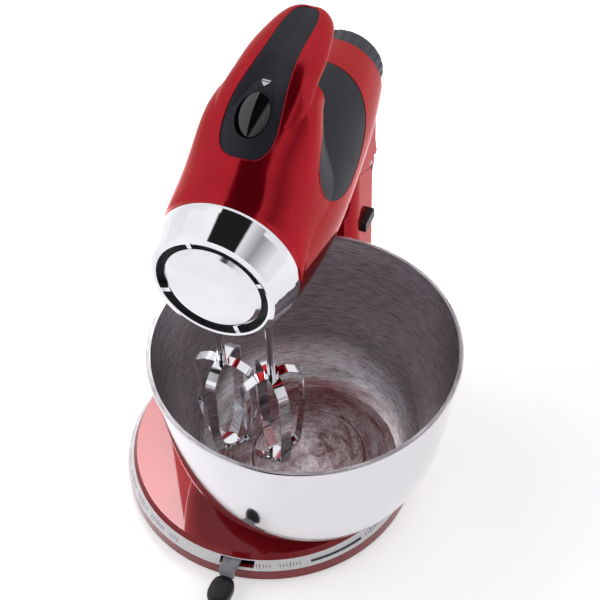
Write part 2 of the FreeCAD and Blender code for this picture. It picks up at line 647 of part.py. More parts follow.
ring_core = axial([("medal_radius + 0.1", "0"), ("slot_radius - 0.1", "0"), ("slot_radius - 0.1", "30"),
                   ("medal_radius + 0.1", "30")], "-nose_face")
node("front_medallion", medal)
node("slot_ribs", common(fuse(*rib_set), ring_core))
node("vent_ring", slot_wall)
node("nose_frame", axial([("slot_radius - 8", "11.1"), ("slot_radius + 1.9", "12.1"),
                          ("nose_radius - 6.1", "22.4"),
                          ("nose_radius - 6.1", "30"), ("nose_radius - 8.5", "30"),
                          ("nose_radius - 8.5", "19.5"),
                          ("slot_radius - 8", "14")],
                         "-nose_face"))

# Eject: a glossy oval button, its rod and a yoke whose pins reach into the hollow spindles.
button_low = val("axis_height") + 64
dome, lean = 40.0, math.radians(33)
crown = V(0, 7.5, val("axis_height + handle_rise * 0.855 + button_proud"))
ridge = 9.0
dome_at = crown + V(0, math.sin(lean), -math.cos(lean)) * math.sqrt(dome ** 2 - ridge ** 2)
button = button_outline(0, button_low, 420)
for side in (-1, 1):
    button = button.common(Part.makeSphere(dome, dome_at + V(side * ridge, 0, 0)))
button = sorted(button.Solids, key=lambda s: -s.Volume)[0]
node("eject_button", shaped(button))
yoke_low = "spindle_top + 9"
node("eject_rod", cylinder("3", f"axis_height + 64 - ({yoke_low}) - 5", "0", "9", f"{yoke_low} + 5"))
yoke_bar = half_box("beater_apart + 5", "-beater_ahead - 5", "-beater_ahead + 5", yoke_low,
                    f"{yoke_low} + 5")
yoke_link = half_box("5", "-beater_ahead", "14", yoke_low, f"{yoke_low} + 5")
yoke_pins = [cylinder("2.4", f"{yoke_low} - stem_top - eject_travel - 1", f"{side} * beater_apart",
                      "-beater_ahead",
                      "stem_top + eject_travel + 1") for side in (-1, 1)]
node("eject_yoke", fuse(yoke_bar, yoke_link, *yoke_pins))

# Drive: hollow spindles with worm wheels, both turned by one worm on the armature shaft.
wheel_radius = "beater_apart - worm_radius - worm_gap"


def toothed(teeth, radius, depth, high):
    tips = []
    for i in range(teeth):
        for share, r in ((-0.30, radius - depth), (-0.14, radius), (0.14, radius),
                         (0.30, radius - depth)):
            a = 2 * math.pi * (i + share) / teeth
            tips.append(V(r * math.cos(a), r * math.sin(a), 0))
    return Part.Face(Part.makePolygon(tips + tips[:1])).extrude(V(0, 0, high))


for name, side in (("left", -1), ("right", 1)):
    where = (f"{side} * beater_apart", "-beater_ahead")
    blank = shaped(toothed(24, val(wheel_radius), 2.2, val("wheel_thick")))
    place(blank, *where, "axis_height - wheel_thick / 2")
    node(f"{name}_wheel", cut(blank, cylinder("spindle_radius", "60", *where, "axis_height - 30")))
    node(f"{name}_spindle", turned([
        ("stem_radius + fit_gap", "spindle_low"), ("spindle_radius - 1", "spindle_low"),
        ("spindle_radius", "spindle_low + 1"), ("spindle_radius", "spindle_top"),
        ("stem_radius + fit_gap", "spindle_top")], *where))


# Beaters: two crossed flat loops on a stem, the left one with a nylon button that rides on the bowl.
def rounded(points, radius):
    """A closed outline of straight runs with every corner rounded."""
    corners = []
    for i, point in enumerate(points):
        back, ahead = points[i - 1] - point, points[(i + 1) % len(points)] - point
        room = 0.45 * min(back.Length, ahead.Length)
        back.normalize()
        ahead.normalize()
        half = back.getAngle(ahead) / 2
        set_back = min(radius / math.tan(half), room)
        inward = back + ahead
        inward.normalize()
        bulge = set_back / math.cos(half) - set_back * math.tan(half)
        corners.append((point + back * set_back, point + inward * bulge, point + ahead * set_back))
    edges = []
    for i, (start, middle_point, end) in enumerate(corners):
        edges.append(Part.Arc(start, middle_point, end).toShape())
        edges.append(Part.makeLine(end, corners[(i + 1) % len(corners)][0]))
    return Part.Wire(edges)


def loop_shape():
    half, top, low = val("beater_wide") / 2, val("beater_top"), val("beater_low")
    tall, wide = top - low, val("blade_wide")
    side = [(0.25 * half, 0), (0.8 * half, 0.13 * tall), (half, 0.48 * tall), (half, 0.93 * tall),
            (0.5 * half, tall)]
    right = [V(r, 0, low + z) for r, z in side]
    wire = rounded(right + [V(-p.x, 0, p.z) for p in reversed(right)], 9)
    strip = Part.Face(wire).cut(Part.Face(wire.makeOffset2D(-val("blade_thick"))))
    band = strip.extrude(V(0, wide, 0))
    band.translate(V(0, -wide / 2, 0))
    return band


def beater_shape():
    loop = loop_shape()
    crossed = loop.copy()
    crossed.rotate(V(0, 0, 0), V(0, 0, 1), 90)
    low, top = val("beater_low"), val("beater_top")
    stem = Part.makeCylinder(val("stem_radius"), val("stem_top") - top + 6, V(0, 0, top - 6))
    collar = Part.makeCylinder(5.4, 6, V(0, 0, top - 2))
    hub = Part.makeCylinder(6, 5, V(0, 0, low - 1))
    flats = Part.makeBox(11, 1.6, 7, V(-5.5, -0.8, val("spindle_low") - 12))
    solid = loop
    for piece in (crossed, stem, collar, hub, flats):
        solid = solid.fuse(piece)
    return solid.removeSplitter()


for name, side, phase in (("left", -1, 0), ("right", 1, 45)):
    cage = node(f"{name}_beater", shaped(beater_shape()))
    place(cage, f"{side} * beater_apart", "-beater_ahead", "0", ((0, 0, 1), phase))
node("beater_tip", turned([("0", "beater_low - 5"), ("5", "beater_low - 5"), ("7", "beater_low - 3.6"),
                           ("7", "beater_low - 1.05"), ("0", "beater_low - 1.05")], "-beater_apart",
                          "-beater_ahead"))

# Motor: armature with worm, commutator and fan, in a stator with two field coils and a gear case.
motor_end = "motor_front + motor_long"
worm_points = [("0", "-beater_ahead - 20"), ("worm_radius - 1.6", "-beater_ahead - 20")]
for i in range(9):
    start = -15 + 4 * i
    worm_points += [("worm_radius - 1.6", f"-beater_ahead + {start}"),
                    ("worm_radius", f"-beater_ahead + {start + 0.8}"),
                    ("worm_radius", f"-beater_ahead + {start + 1.8}"),
                    ("worm_radius - 1.6", f"-beater_ahead + {start + 2.6}")]
worm_points += [("worm_radius - 1.6", "-beater_ahead + 24"), ("0", "-beater_ahead + 24")]
node("worm", axial(worm_points))
node("armature_shaft", axial([("0", "24.05 - beater_ahead"), ("shaft_radius", "24.05 - beater_ahead"),
                              ("shaft_radius", f"{motor_end} + 46"), ("0", f"{motor_end} + 46")]))
core_disc = cylinder("rotor_radius", "motor_long + 4", "0", "motor_front - 2", "axis_height", ALONG_Y)
core_slots = []
for i in range(10):
    turn_by = 36 * i
    core_slots.append(block("7", "motor_long + 8", "2.4",
                            f"(rotor_radius - 5) * {math.cos(math.radians(turn_by)):.6f}",
                            "motor_front - 4",
                            f"axis_height + (rotor_radius - 5) * {math.sin(math.radians(turn_by)):.6f}",
                            ((0, 1, 0), -turn_by)))
shaft_hole = cylinder("shaft_radius", "200", "0", "-60", "axis_height", ALONG_Y)
node("armature_core", cut(core_disc, shaft_hole, *core_slots))
node("commutator", axial([("shaft_radius", f"{motor_end} + 16"), ("11", f"{motor_end} + 16"),
                          ("11", f"{motor_end} + 28"),
                          ("8", f"{motor_end} + 29"), ("shaft_radius", f"{motor_end} + 29")]))
fan_hub = axial([("shaft_radius", "14"), ("8", "14"), ("8", "22.4"), ("27", "22.4"), ("27", "24"),
                 ("shaft_radius", "24")])
fan_blades = []
for i in range(9):
    turn_by = 40 * i
    fan_blades.append(block("20", "8", "1.4", f"7 * {math.cos(math.radians(turn_by)):.6f}", "14.5",
                            f"axis_height + 7 * {math.sin(math.radians(turn_by)):.6f}",
                            ((0, 1, 0), -turn_by)))
node("cooling_fan", fuse(fan_hub, *fan_blades))
bore = "rotor_radius + air_gap"
yoke_ring = axial([(f"{bore} + 6", "motor_front"), ("stator_radius", "motor_front"),
                   ("stator_radius", motor_end),
                   (f"{bore} + 6", motor_end)])
pole_ring = axial([(bore, "motor_front"), (f"{bore} + 6.2", "motor_front"), (f"{bore} + 6.2", motor_end),
                   (bore, motor_end)])
pole_room = half_box("15", "motor_front - 1", f"{motor_end} + 1", "axis_height - 40", "axis_height + 40")
node("motor_stator", fuse(yoke_ring, common(pole_ring, pole_room)))
coil_ring = axial([(f"{bore} + 0.6", "motor_front - 7"), (f"{bore} + 5.6", "motor_front - 7"),
                   (f"{bore} + 5.6", f"{motor_end} + 7"), (f"{bore} + 0.6", f"{motor_end} + 7")])
node("field_coils", cut(coil_ring, half_box("15.6", "motor_front - 10", f"{motor_end} + 10",
                                            "axis_height - 40",
                                            "axis_height + 40")))
case_side = f"beater_apart + {wheel_radius} + 1".replace("beater_apart - ", "(beater_apart) - ")
case_outer = half_box(f"{case_side} + 2.5", "-beater_ahead - 20", "11", "axis_height - 20",
                      "axis_height + 17")
case_bar = half_box("body_radius - shell_wall - 5.4", "-beater_ahead + 6", "-beater_ahead + 15",
                    "axis_height - 20", "axis_height - 17")
case_outer = fuse(case_outer, case_bar)
case_inner = half_box(case_side, "-beater_ahead - 17.5", "8", "axis_height - 17", "axis_height + 30")
case_bores = [cylinder("spindle_radius + fit_gap", "40", f"{side} * beater_apart", "-beater_ahead",
                       "axis_height - 40")
              for side in (-1, 1)]
case_shaft_rear = cylinder("10", "30", "0", "0", "axis_height", ALONG_Y)
node("gear_case", cut(case_outer, case_inner, *case_bores, case_shaft_rear,
                      cylinder("7", "20", "0", "-60", "axis_height", ALONG_Y)))
node("front_bearing", axial([("worm_radius - 1.6 + fit_gap", "-beater_ahead - 20"),
                             ("6.95", "-beater_ahead - 20"),
                             ("6.95", "-beater_ahead - 16.5"),
                             ("worm_radius - 1.6 + fit_gap", "-beater_ahead - 16.5")]))
node("middle_bearing", axial([("shaft_radius + fit_gap", "8"), ("9.95", "8"), ("9.95", "12"),
                              ("shaft_radius + fit_gap", "12")]))
node("rear_bearing", axial([("shaft_radius + fit_gap", f"{motor_end} + 36"), ("10", f"{motor_end} + 36"),
                            ("10", f"{motor_end} + 43"),
                            ("shaft_radius + fit_gap", f"{motor_end} + 43")]))
mount_slab = Part.makeBox(200, 6, 200, V(-100, val("motor_front") + 13, val("axis_height") - 100))
mount_disc = torpedo(val("shell_wall") + 0.95, None, None).common(mount_slab)
mount_holes = [Part.makeCylinder(val("stator_radius") + 0.05, 300, V(0, -50, val("axis_height")),
                                 V(0, 1, 0))]
for i in range(8):
    a = math.radians(22.5 + 45 * i)
    ring_at = val("stator_radius") + 9.5
    spot = V(ring_at * math.cos(a), -50, val("axis_height") + ring_at * math.sin(a))
    mount_holes.append(Part.makeCylinder(6, 300, spot, V(0, 1, 0)))
node("motor_mount", shaped(mount_disc.cut(mount_holes)))
bracket = axial([("10.05", f"{motor_end} + 36"), ("stator_radius - 1", f"{motor_end} + 36"),
                 ("stator_radius - 1", f"{motor_end} + 40"), ("10.05", f"{motor_end} + 40")])
struts = [half_box("6", motor_end, f"{motor_end} + 37", f"axis_height + ({level}) - 2",
                   f"axis_height + ({level}) + 2")
          for level in ("stator_radius - 3.5", "3.5 - stator_radius")]
node("rear_bracket", fuse(bracket, *struts))

# Speed control: a rear dial on a shaft that runs into the switch block.
node("speed_switch", cut(half_box("16", "motor_front + motor_long + 49", "motor_front + motor_long + 66",
                                  "axis_height - 15",
                                  "axis_height + 15"),
                         cylinder("3 + fit_gap", "60", "0", f"{motor_end} + 55", "axis_height", ALONG_Y)))
switch_at = val(f"{motor_end} + 66.05")
switch_slab = Part.makeBox(200, 3, 200, V(-100, switch_at, val("axis_height") - 100))
switch_plate = torpedo(val("shell_wall") + 0.75, None, None).common(switch_slab)
switch_plate = switch_plate.cut(Part.makeCylinder(4, 300, V(0, 0, val("axis_height")), V(0, 1, 0)))
for side in (-1, 1):
    window = Part.makeBox(9, 20, 30, V(side * 24.5 - 4.5, switch_at - 5, val("axis_height") - 15))
    switch_plate = switch_plate.cut(window)
under = Part.makeBox(200, 60, 100, V(-100, switch_at - 20, part_level - 99.7))
node("switch_mount", shaped(switch_plate.cut(under)))
node("dial_shaft", axial([("0", f"{motor_end} + 56"), ("3", f"{motor_end} + 56"), ("3", "body_rear + 1"),
                          ("0", "body_rear + 1")]))
dial_blank = axial([("0", "body_rear + 1"), ("dial_radius - 1", "body_rear + 1"),
                    ("dial_radius", "body_rear + 2"),
                    ("dial_radius", "body_rear + dial_deep - 3"),
                    ("dial_radius - 3", "body_rear + dial_deep"),
                    ("dial_radius - 9", "body_rear + dial_deep"),
                    ("dial_radius - 11", "body_rear + dial_deep - 1.5"),
                    ("6", "body_rear + dial_deep - 2.2"), ("0", "body_rear + dial_deep - 2.2")])
dial_grips = []
for i in range(24):
    a = math.radians(15 * i)
    dial_grips.append(cylinder("1.6", "dial_deep", f"(dial_radius + 0.7) * {math.cos(a):.6f}",
                               "body_rear + 3",
                               f"axis_height + (dial_radius + 0.7) * {math.sin(a):.6f}", ALONG_Y))
node("speed_dial", cut(dial_blank, *dial_grips))

doc.recompute()
for obj in doc.Objects:
    state = [s for s in obj.State if s in ("Invalid", "Error")]
    if state:
        raise RuntimeError(f"{obj.Name} ({obj.Label}) is {state}")
os.makedirs("parts", exist_ok=True)
for label, obj in nodes.items():
    shape = obj.Shape
    if shape.isNull() or not shape.isValid() or not shape.Solids:
        raise RuntimeError(f"{label} has no valid solid")
    shape.exportStep(f"parts/{label}.step")
    print(f"{label:18s} {len(shape.Solids):3d} solids {shape.Volume / 1000:9.2f} cm3")
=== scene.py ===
import bpy
import math
from mathutils import Matrix, Vector
from mathutils.bvhtree import BVHTree


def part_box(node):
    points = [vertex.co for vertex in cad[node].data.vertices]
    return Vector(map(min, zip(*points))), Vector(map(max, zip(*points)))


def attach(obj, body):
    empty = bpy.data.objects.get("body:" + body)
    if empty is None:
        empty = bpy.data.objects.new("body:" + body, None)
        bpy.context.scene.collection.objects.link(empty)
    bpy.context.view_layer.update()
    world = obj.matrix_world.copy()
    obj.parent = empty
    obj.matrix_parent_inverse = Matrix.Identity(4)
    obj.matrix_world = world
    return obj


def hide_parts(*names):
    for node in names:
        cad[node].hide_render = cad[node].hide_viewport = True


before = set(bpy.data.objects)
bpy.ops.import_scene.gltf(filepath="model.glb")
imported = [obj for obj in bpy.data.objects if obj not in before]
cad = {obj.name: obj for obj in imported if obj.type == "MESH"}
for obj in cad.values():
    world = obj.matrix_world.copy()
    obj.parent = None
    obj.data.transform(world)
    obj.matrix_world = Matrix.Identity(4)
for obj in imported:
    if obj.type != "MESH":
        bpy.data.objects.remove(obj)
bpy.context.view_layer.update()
scene = bpy.context.scene


# Base: a round moulded shell with a rear block under the column, closed below by a plain cover.
# The shell is enamelled deep red. The black cover is screwed to it and stands on rubber feet.
def linear(hex_colour):
    """An sRGB hex colour as linear red, green, blue and alpha."""
    channels = [int(hex_colour[i:i + 2], 16) / 255 for i in (1, 3, 5)]
    return tuple(c / 12.92 if c <= 0.04045 else ((c + 0.055) / 1.055) ** 2.4 for c in channels) + (1.0,)


def add(tree, kind, sockets, **settings):
    """Adds one node with its settings. Each socket takes a fixed value or another node's output."""
    made = tree.nodes.new(kind)
    for name, value in settings.items():
        setattr(made, name, value)
    for socket, value in sockets.items():
        if isinstance(value, bpy.types.NodeSocket):
            tree.links.new(value, made.inputs[socket])
        else:
            made.inputs[socket].default_value = value
    return made


def shader(name, constants):
    """A new material with what is the same all over it set on its surface shader."""
    material = bpy.data.materials.new(name)
    material.use_nodes = True
    surface = material.node_tree.nodes["Principled BSDF"]
    for socket, value in constants.items():
        surface.inputs[socket].default_value = value
    return material, material.node_tree, surface


def mottled(tree, surface, low, high, size_mm):
    """Lets the colour drift softly between two tones, in patches about size_mm across."""
    place = add(tree, "ShaderNodeTexCoord", {}).outputs["Object"]
    patches = add(tree, "ShaderNodeTexNoise", {"Vector": place, "Scale": 1000 / size_mm, "Detail": 3.0})
    tones = add(tree, "ShaderNodeValToRGB", {"Fac": patches.outputs["Fac"]})
    drift = (0.35, 0.65)
    for stop, position, tone in zip(tones.color_ramp.elements, drift, (low, high)):
        stop.position = position
        stop.color = linear(tone)
    tree.links.new(tones.outputs["Color"], surface.inputs["Base Color"])
    return place


def grain(tree, surface, place, size_mm, height_mm):
    """Raises a fine moulded or sprayed texture by height_mm."""
    pits = add(tree, "ShaderNodeTexNoise", {"Vector": place, "Scale": 1000 / size_mm, "Detail": 2.0})
    bump = add(tree, "ShaderNodeBump", {"Height": pits.outputs["Fac"], "Distance": height_mm / 1000})
    tree.links.new(bump.outputs["Normal"], surface.inputs["Normal"])
    return pits.outputs["Fac"]


def uneven(tree, surface, pattern, smooth, rough):
    """Lets the roughness follow a pattern between two values."""
    spread = add(tree, "ShaderNodeMapRange", {"Value": pattern, "To Min": smooth, "To Max": rough})
    tree.links.new(spread.outputs["Result"], surface.inputs["Roughness"])


def plain(name, low, high, roughness, metallic=0.0, specular=0.5, coat=0.0, size_mm=6.0, bump_mm=0.0):
    """A finish with a slight drift in tone and sheen, as a moulded, turned or plated piece has."""
    constants = {"Metallic": metallic, "Specular IOR Level": specular, "Coat Weight": coat}
    material, tree, surface = shader(name, constants)
    place = mottled(tree, surface, low, high, size_mm)
    sheen_mm = 3 * size_mm
    sheen = add(tree, "ShaderNodeTexNoise", {"Vector": place, "Scale": 1000 / sheen_mm, "Detail": 2.0})
    uneven(tree, surface, sheen.outputs["Fac"], 0.85 * roughness, 1.15 * roughness)
    # The texture of a mould is about 0.1 mm across. It is drawn coarser, so that it shows.
    mould_mm = 0.6
    if bump_mm:
        grain(tree, surface, place, mould_mm, bump_mm)
    return material


def dress(material, *names):
    """Gives CAD pieces one finish all over."""
    for name in names:
        mesh = cad[name].data
        mesh.materials.clear()
        mesh.materials.append(material)
        for polygon in mesh.polygons:
            polygon.material_index = 0


# Sprayed enamel: dark red under thick clear lacquer, so the flat top mirrors the lamp as a pale pink sheet.
# Its orange peel breaks the edge of each reflection a little.
gloss_drift_mm, peel_mm, peel_height_mm = 40.0, 2.5, 0.004
enamel, tree, surface = shader("red enamel, sprayed and lacquered", {
    "Metallic": 0.15, "Specular IOR Level": 0.05, "Coat Weight": 0.55, "Coat Roughness": 0.02})
place = mottled(tree, surface, "#80121A", "#8A151E", gloss_drift_mm)
peel = grain(tree, surface, place, peel_mm, peel_height_mm)
uneven(tree, surface, peel, smooth=0.16, rough=0.24)
dress(enamel, "base_shell")
# Matt moulded plastic: nearly black, with a dull textured face.
dress(plain("black ABS, moulded matt", "#111112", "#1A1A1C", 0.55, bump_mm=0.02), "base_cover")
# Moulded rubber: black and dull, with no clear highlight.
dress(plain("black rubber, moulded", "#141414", "#1E1E1E", 0.8, bump_mm=0.03), "rubber_feet")
# Zinc plating: a cool grey metal with a soft shine.
zinc = plain("steel, zinc plated", "#A9ABAF", "#C3C5C8", 0.32, metallic=1.0, size_mm=2.0)
dress(zinc, "base_screws")


# Guide band: a thin conical strip let into the sloped rim of the base.
# It is painted silver and printed with a row of short dark strokes and one long line.
def new_piece(name, mesh, finish, body):
    """Puts a mesh that is made here into the scene, as a piece that moves with a body."""
    piece = bpy.data.objects.new(name, mesh)
    scene.collection.objects.link(piece)
    mesh.materials.append(finish)
    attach(piece, body)
    return piece


def printed(name, patches, ink, body):
    """A print, made of thin four-cornered patches that lie on the piece below them."""
    mesh = bpy.data.meshes.new(name)
    corners = [corner for patch in patches for corner in patch]
    mesh.from_pydata(corners, [], [range(i, i + 4) for i in range(0, len(corners), 4)])
    new_piece(name, mesh, ink, body)


base_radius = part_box("base_shell")[1].x
band_width, band_low, band_high = 0.0055, 0.015, 0.023
print_lift = 0.00012


def on_band(angle, share):
    """A point just off the band's cone: share 0 at its lower edge, 1 at its upper edge."""
    slope = math.atan2(band_high - band_low, band_width)
    radius = base_radius - band_width * share + print_lift * math.sin(slope)
    height = band_low + (band_high - band_low) * share + print_lift * math.cos(slope)
    return Vector((radius * math.sin(angle), -radius * math.cos(angle), height))


def band_patch(start, stop, low, high):
    """One printed patch between two angles and two shares of the band's slope."""
    return [on_band(start, low), on_band(stop, low), on_band(stop, high), on_band(start, high)]


# Satin paint: pale and even, with a broad soft highlight.
dress(plain("silver paint, satin", "#E9E6E8", "#F1EEF0", 0.4, size_mm=3.0), "guide_band")
# Printing ink: flat and nearly black, so that the strokes read against the silver.
dark_ink = plain("dark ink, printed", "#26262A", "#34343A", 0.5)
# Strokes stand in groups of seven with a gap after each, and leave room for the lever and the line.
# Angles are in degrees, apart from half a stroke, which is in radians and about a quarter of a millimetre.
strokes_each_side, stroke_step, stroke_half = 80, 1.3, 0.0022
group, group_gap, tall_stroke = 9, 2, 5
lever_room, line_room = (-16, 13), (35, 62)
line_from, line_to = 38, 60
short_share, tall_share, line_share = (0.38, 0.62), (0.3, 0.7), (0.36, 0.56)
marks = []
for step in range(-strokes_each_side, strokes_each_side + 1):
    degrees = stroke_step * step
    taken = any(start < degrees < stop for start, stop in (lever_room, line_room))
    if taken or step % group < group_gap:
        continue
    angle = math.radians(degrees)
    share = tall_share if step % group == tall_stroke else short_share
    marks.append(band_patch(angle - stroke_half, angle + stroke_half, *share))
for degrees in range(line_from, line_to):
    marks.append(band_patch(math.radians(degrees), math.radians(degrees + 1), *line_share))
printed("band_marks", marks, dark_ink, "stand")


# Shift lever: a moulded grey arm that turns on a pin in the base and comes out through a slot in its rim.
# A black knob is pushed onto its end. It is made here, in the box of the CAD knob, with rounder corners.
def bulge(value, power):
    """A signed power, under 1 for a fuller form."""
    return math.copysign(abs(value) ** power, value)


dress(zinc, "lever_pin")
# Smooth moulded plastic: mid grey with a soft shine along the edges.
dress(plain("grey ABS, moulded", "#8A8C92", "#A2A4A9", 0.35), "shift_lever")
# Fine-textured plastic: black, with highlights that spread and fade.
black = plain("black ABS, fine textured", "#0D0D10", "#151519", 0.4, bump_mm=0.01)
knob_low, knob_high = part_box("lever_knob")
knob_half, knob_middle = (knob_high - knob_low) / 2, (knob_high + knob_low) / 2
side_power, plan_power = 0.4, 0.8
knob_turns, knob_rises = 48, 24


def knob_spot(rise, turn):
    """A point of the knob: rise is the angle up from its middle, turn the angle round it."""
    swell = bulge(math.cos(rise), side_power)
    form = (swell * bulge(math.cos(turn), plan_power),
            swell * bulge(math.sin(turn), plan_power),
            bulge(math.sin(rise), side_power))
    return [middle + half * reach for middle, half, reach in zip(knob_middle, knob_half, form)]


knob_spots = [knob_spot(math.pi * (row / knob_rises - 0.5), 2 * math.pi * column / knob_turns)
              for row in range(1, knob_rises) for column in range(knob_turns)]
knob_bottom, knob_top = len(knob_spots), len(knob_spots) + 1
knob_spots += [knob_spot(-math.pi / 2, 0), knob_spot(math.pi / 2, 0)]
top_row = (knob_rises - 2) * knob_turns
knob_faces = []
for column in range(knob_turns):
    beside = (column + 1) % knob_turns
    for low in range(0, top_row, knob_turns):
        high = low + knob_turns
        knob_faces.append((low + column, low + beside, high + beside, high + column))
    knob_faces.append((knob_bottom, beside, column))
    knob_faces.append((knob_top, top_row + column, top_row + beside))
knob_mesh = bpy.data.meshes.new("round_knob")
knob_mesh.from_pydata(knob_spots, [], knob_faces)
knob_mesh.shade_smooth()
knob = new_piece("round_knob", knob_mesh, black, "lever")
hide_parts("lever_knob")

# Turntable and bowl: a moulded disc on a steel post in a nylon bush, and a spun bowl that stands on it.
# The bowl is stainless steel, polished outside and brushed in rings inside, with a floor scuffed by use.
dress(black, "turntable")
dress(zinc, "turntable_post")
# Natural nylon: a warm, waxy cream.
nylon = plain("natural nylon, moulded", "#C9B98A", "#D8CBA2", 0.45)
dress(nylon, "turntable_bush")
# Spun stainless steel: it mirrors the room outside, and the rings inside stretch each highlight across them.
# Real brushing is about 0.1 mm apart and scuffs are hair-thin. Both are drawn coarser, so that they show.
line_mm, line_depth, scuff_mm = 1.1, 0.00006, 4.8
outside_rough, wall_rough, floor_rough = 0.09, 0.27, (0.3, 0.6)
steel, tree, surface = shader("stainless steel, spun and brushed", {"Metallic": 1.0, "Anisotropic": 0.55})
bowl_low, bowl_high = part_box("bowl")
bowl_axis = ((bowl_low.x + bowl_high.x) / 2, (bowl_low.y + bowl_high.y) / 2, 0)
place = add(tree, "ShaderNodeTexCoord", {})
centred = add(tree, "ShaderNodeVectorMath", {0: place.outputs["Object"], 1: bowl_axis}, operation="SUBTRACT")
axes = add(tree, "ShaderNodeSeparateXYZ", {"Vector": centred.outputs["Vector"]})
flat = add(tree, "ShaderNodeCombineXYZ", {"X": axes.outputs["X"], "Y": axes.outputs["Y"]})
radius = add(tree, "ShaderNodeVectorMath", {0: flat.outputs["Vector"]}, operation="LENGTH")
turn = add(tree, "ShaderNodeMath", {0: axes.outputs["Y"], 1: axes.outputs["X"]}, operation="ARCTAN2")
# The pattern is wound on a small radius, so that one line runs on for about five degrees.
wound_radius = 0.012
stroke = add(tree, "ShaderNodeMath", {0: turn.outputs["Value"], 1: wound_radius}, operation="MULTIPLY")
rings = add(tree, "ShaderNodeCombineXYZ", {
    "X": radius.outputs["Value"], "Y": axes.outputs["Z"], "Z": stroke.outputs["Value"]}).outputs["Vector"]
lines = add(tree, "ShaderNodeTexNoise", {"Vector": rings, "Scale": 1000 / line_mm, "Detail": 4.0})
scuffs = add(tree, "ShaderNodeTexNoise", {"Vector": rings, "Scale": 1000 / scuff_mm, "Detail": 5.0})
# A face is inside where it looks to the axis, or up from the floor near it.
floor_radius = 0.06
facing = add(tree, "ShaderNodeSeparateXYZ", {"Vector": place.outputs["Normal"]})
outward = add(tree, "ShaderNodeVectorMath", {
    0: place.outputs["Normal"], 1: flat.outputs["Vector"]}, operation="DOT_PRODUCT")
upward = add(tree, "ShaderNodeMath", {0: facing.outputs["Z"], 1: floor_radius}, operation="MULTIPLY")
inward = add(tree, "ShaderNodeMath", {
    0: upward.outputs["Value"], 1: outward.outputs["Value"]}, operation="SUBTRACT")
inside = add(tree, "ShaderNodeMath", {0: inward.outputs["Value"], 1: 0.0}, operation="GREATER_THAN")
# The floor takes over from the wall as the face turns up.
floor_starts, floor_full = 0.6, 0.95
bottom = add(tree, "ShaderNodeMapRange", {
    "Value": facing.outputs["Z"], "From Min": floor_starts, "From Max": floor_full})
# On the floor the scuffs darken the lines, and on the wall an even share of them does.
wall_scuff = 0.56
scrubbed = add(tree, "ShaderNodeMix", {
    "Factor": bottom.outputs["Result"], 2: wall_scuff, 3: scuffs.outputs["Fac"]})
worn = add(tree, "ShaderNodeMath", {0: lines.outputs["Fac"], 1: scrubbed.outputs[0]}, operation="MULTIPLY")
tones = add(tree, "ShaderNodeValToRGB", {"Fac": worn.outputs["Value"]})
worn_tones = ((0.15, "#A59DA3"), (0.36, "#F0EEF0"))
for stop, (position, tone) in zip(tones.color_ramp.elements, worn_tones):
    stop.position = position
    stop.color = linear(tone)
colour = add(tree, "ShaderNodeMix", {
    "Factor": inside.outputs["Value"], 6: linear("#E2E0E3"), 7: tones.outputs["Color"]}, data_type="RGBA")
tree.links.new(colour.outputs[2], surface.inputs["Base Color"])
depth = add(tree, "ShaderNodeMath", {0: inside.outputs["Value"], 1: line_depth}, operation="MULTIPLY")
bump = add(tree, "ShaderNodeBump", {
    "Height": lines.outputs["Fac"], "Distance": depth.outputs["Value"], "Strength": 0.6})
tree.links.new(bump.outputs["Normal"], surface.inputs["Normal"])
dulled = add(tree, "ShaderNodeMapRange", {
    "Value": scuffs.outputs["Fac"], "From Min": 0.3, "From Max": 0.7,
    "To Min": floor_rough[0], "To Max": floor_rough[1]})
satin = add(tree, "ShaderNodeMix", {
    "Factor": bottom.outputs["Result"], 2: wall_rough, 3: dulled.outputs["Result"]})
sheen = add(tree, "ShaderNodeMix", {
    "Factor": inside.outputs["Value"], 2: outside_rough, 3: satin.outputs[0]})
tree.links.new(sheen.outputs[0], surface.inputs["Roughness"])
along = add(tree, "ShaderNodeTangent", {}, direction_type="RADIAL", axis="Z")
tree.links.new(along.outputs["Tangent"], surface.inputs["Tangent"])
dress(steel, "bowl")

# Column: a rounded moulded tube that stands on the base and carries the tilt hinge on a plated pin.
# It is lacquered red, and a black release button slides in a guide in its right side.
dress(zinc, "hinge_pin")
dress(black, "tilt_release", "release_guide")
# Candy lacquer: a metallic red under a clear coat, so that edges go nearly black and lights go pink.
# Real metal flake is under 0.1 mm across. It is drawn coarser, and only breaks the gloss a little.
flake_mm = 0.4
red, tree, surface = shader("red ABS, candy lacquered", {
    "Metallic": 0.75, "Specular Tint": linear("#E8505A"),
    "Coat Weight": 0.3, "Coat Roughness": 0.02, "Coat IOR": 1.45})
place = mottled(tree, surface, "#A80E1F", "#B31224", gloss_drift_mm)
flake = add(tree, "ShaderNodeTexNoise", {"Vector": place, "Scale": 1000 / flake_mm, "Detail": 2.0})
uneven(tree, surface, flake.outputs["Fac"], smooth=0.13, rough=0.19)
dress(red, "column_shell")

# Drive and motor: a motor, a worm and two worm wheels on bushes, closed in by the head.
# Steel, copper, bronze and nylon pieces, held by white moulded brackets.
dress(nylon, "left_wheel", "right_wheel")
# Varnished laminations: a dull grey metal.
dress(plain("steel laminations, varnished", "#4A4A4E", "#5C5C60", 0.5, metallic=0.6, size_mm=1.0),
      "motor_stator", "armature_core")
# Enamelled copper: a warm brown shine.
dress(plain("copper, enamelled", "#A8562A", "#C06A36", 0.3, metallic=0.9, size_mm=1.0),
      "field_coils", "commutator")
# Sintered bronze: a dull brassy brown.
dress(plain("bronze, sintered", "#8C6A3A", "#A07C48", 0.4, metallic=0.9, size_mm=2.0),
      "front_bearing", "middle_bearing", "rear_bearing")
# Turned steel: mid grey, bright on its edges.
dress(plain("steel, turned", "#8F9194", "#A5A7AA", 0.28, metallic=1.0, size_mm=2.0),
      "worm", "armature_shaft", "dial_shaft", "eject_rod")
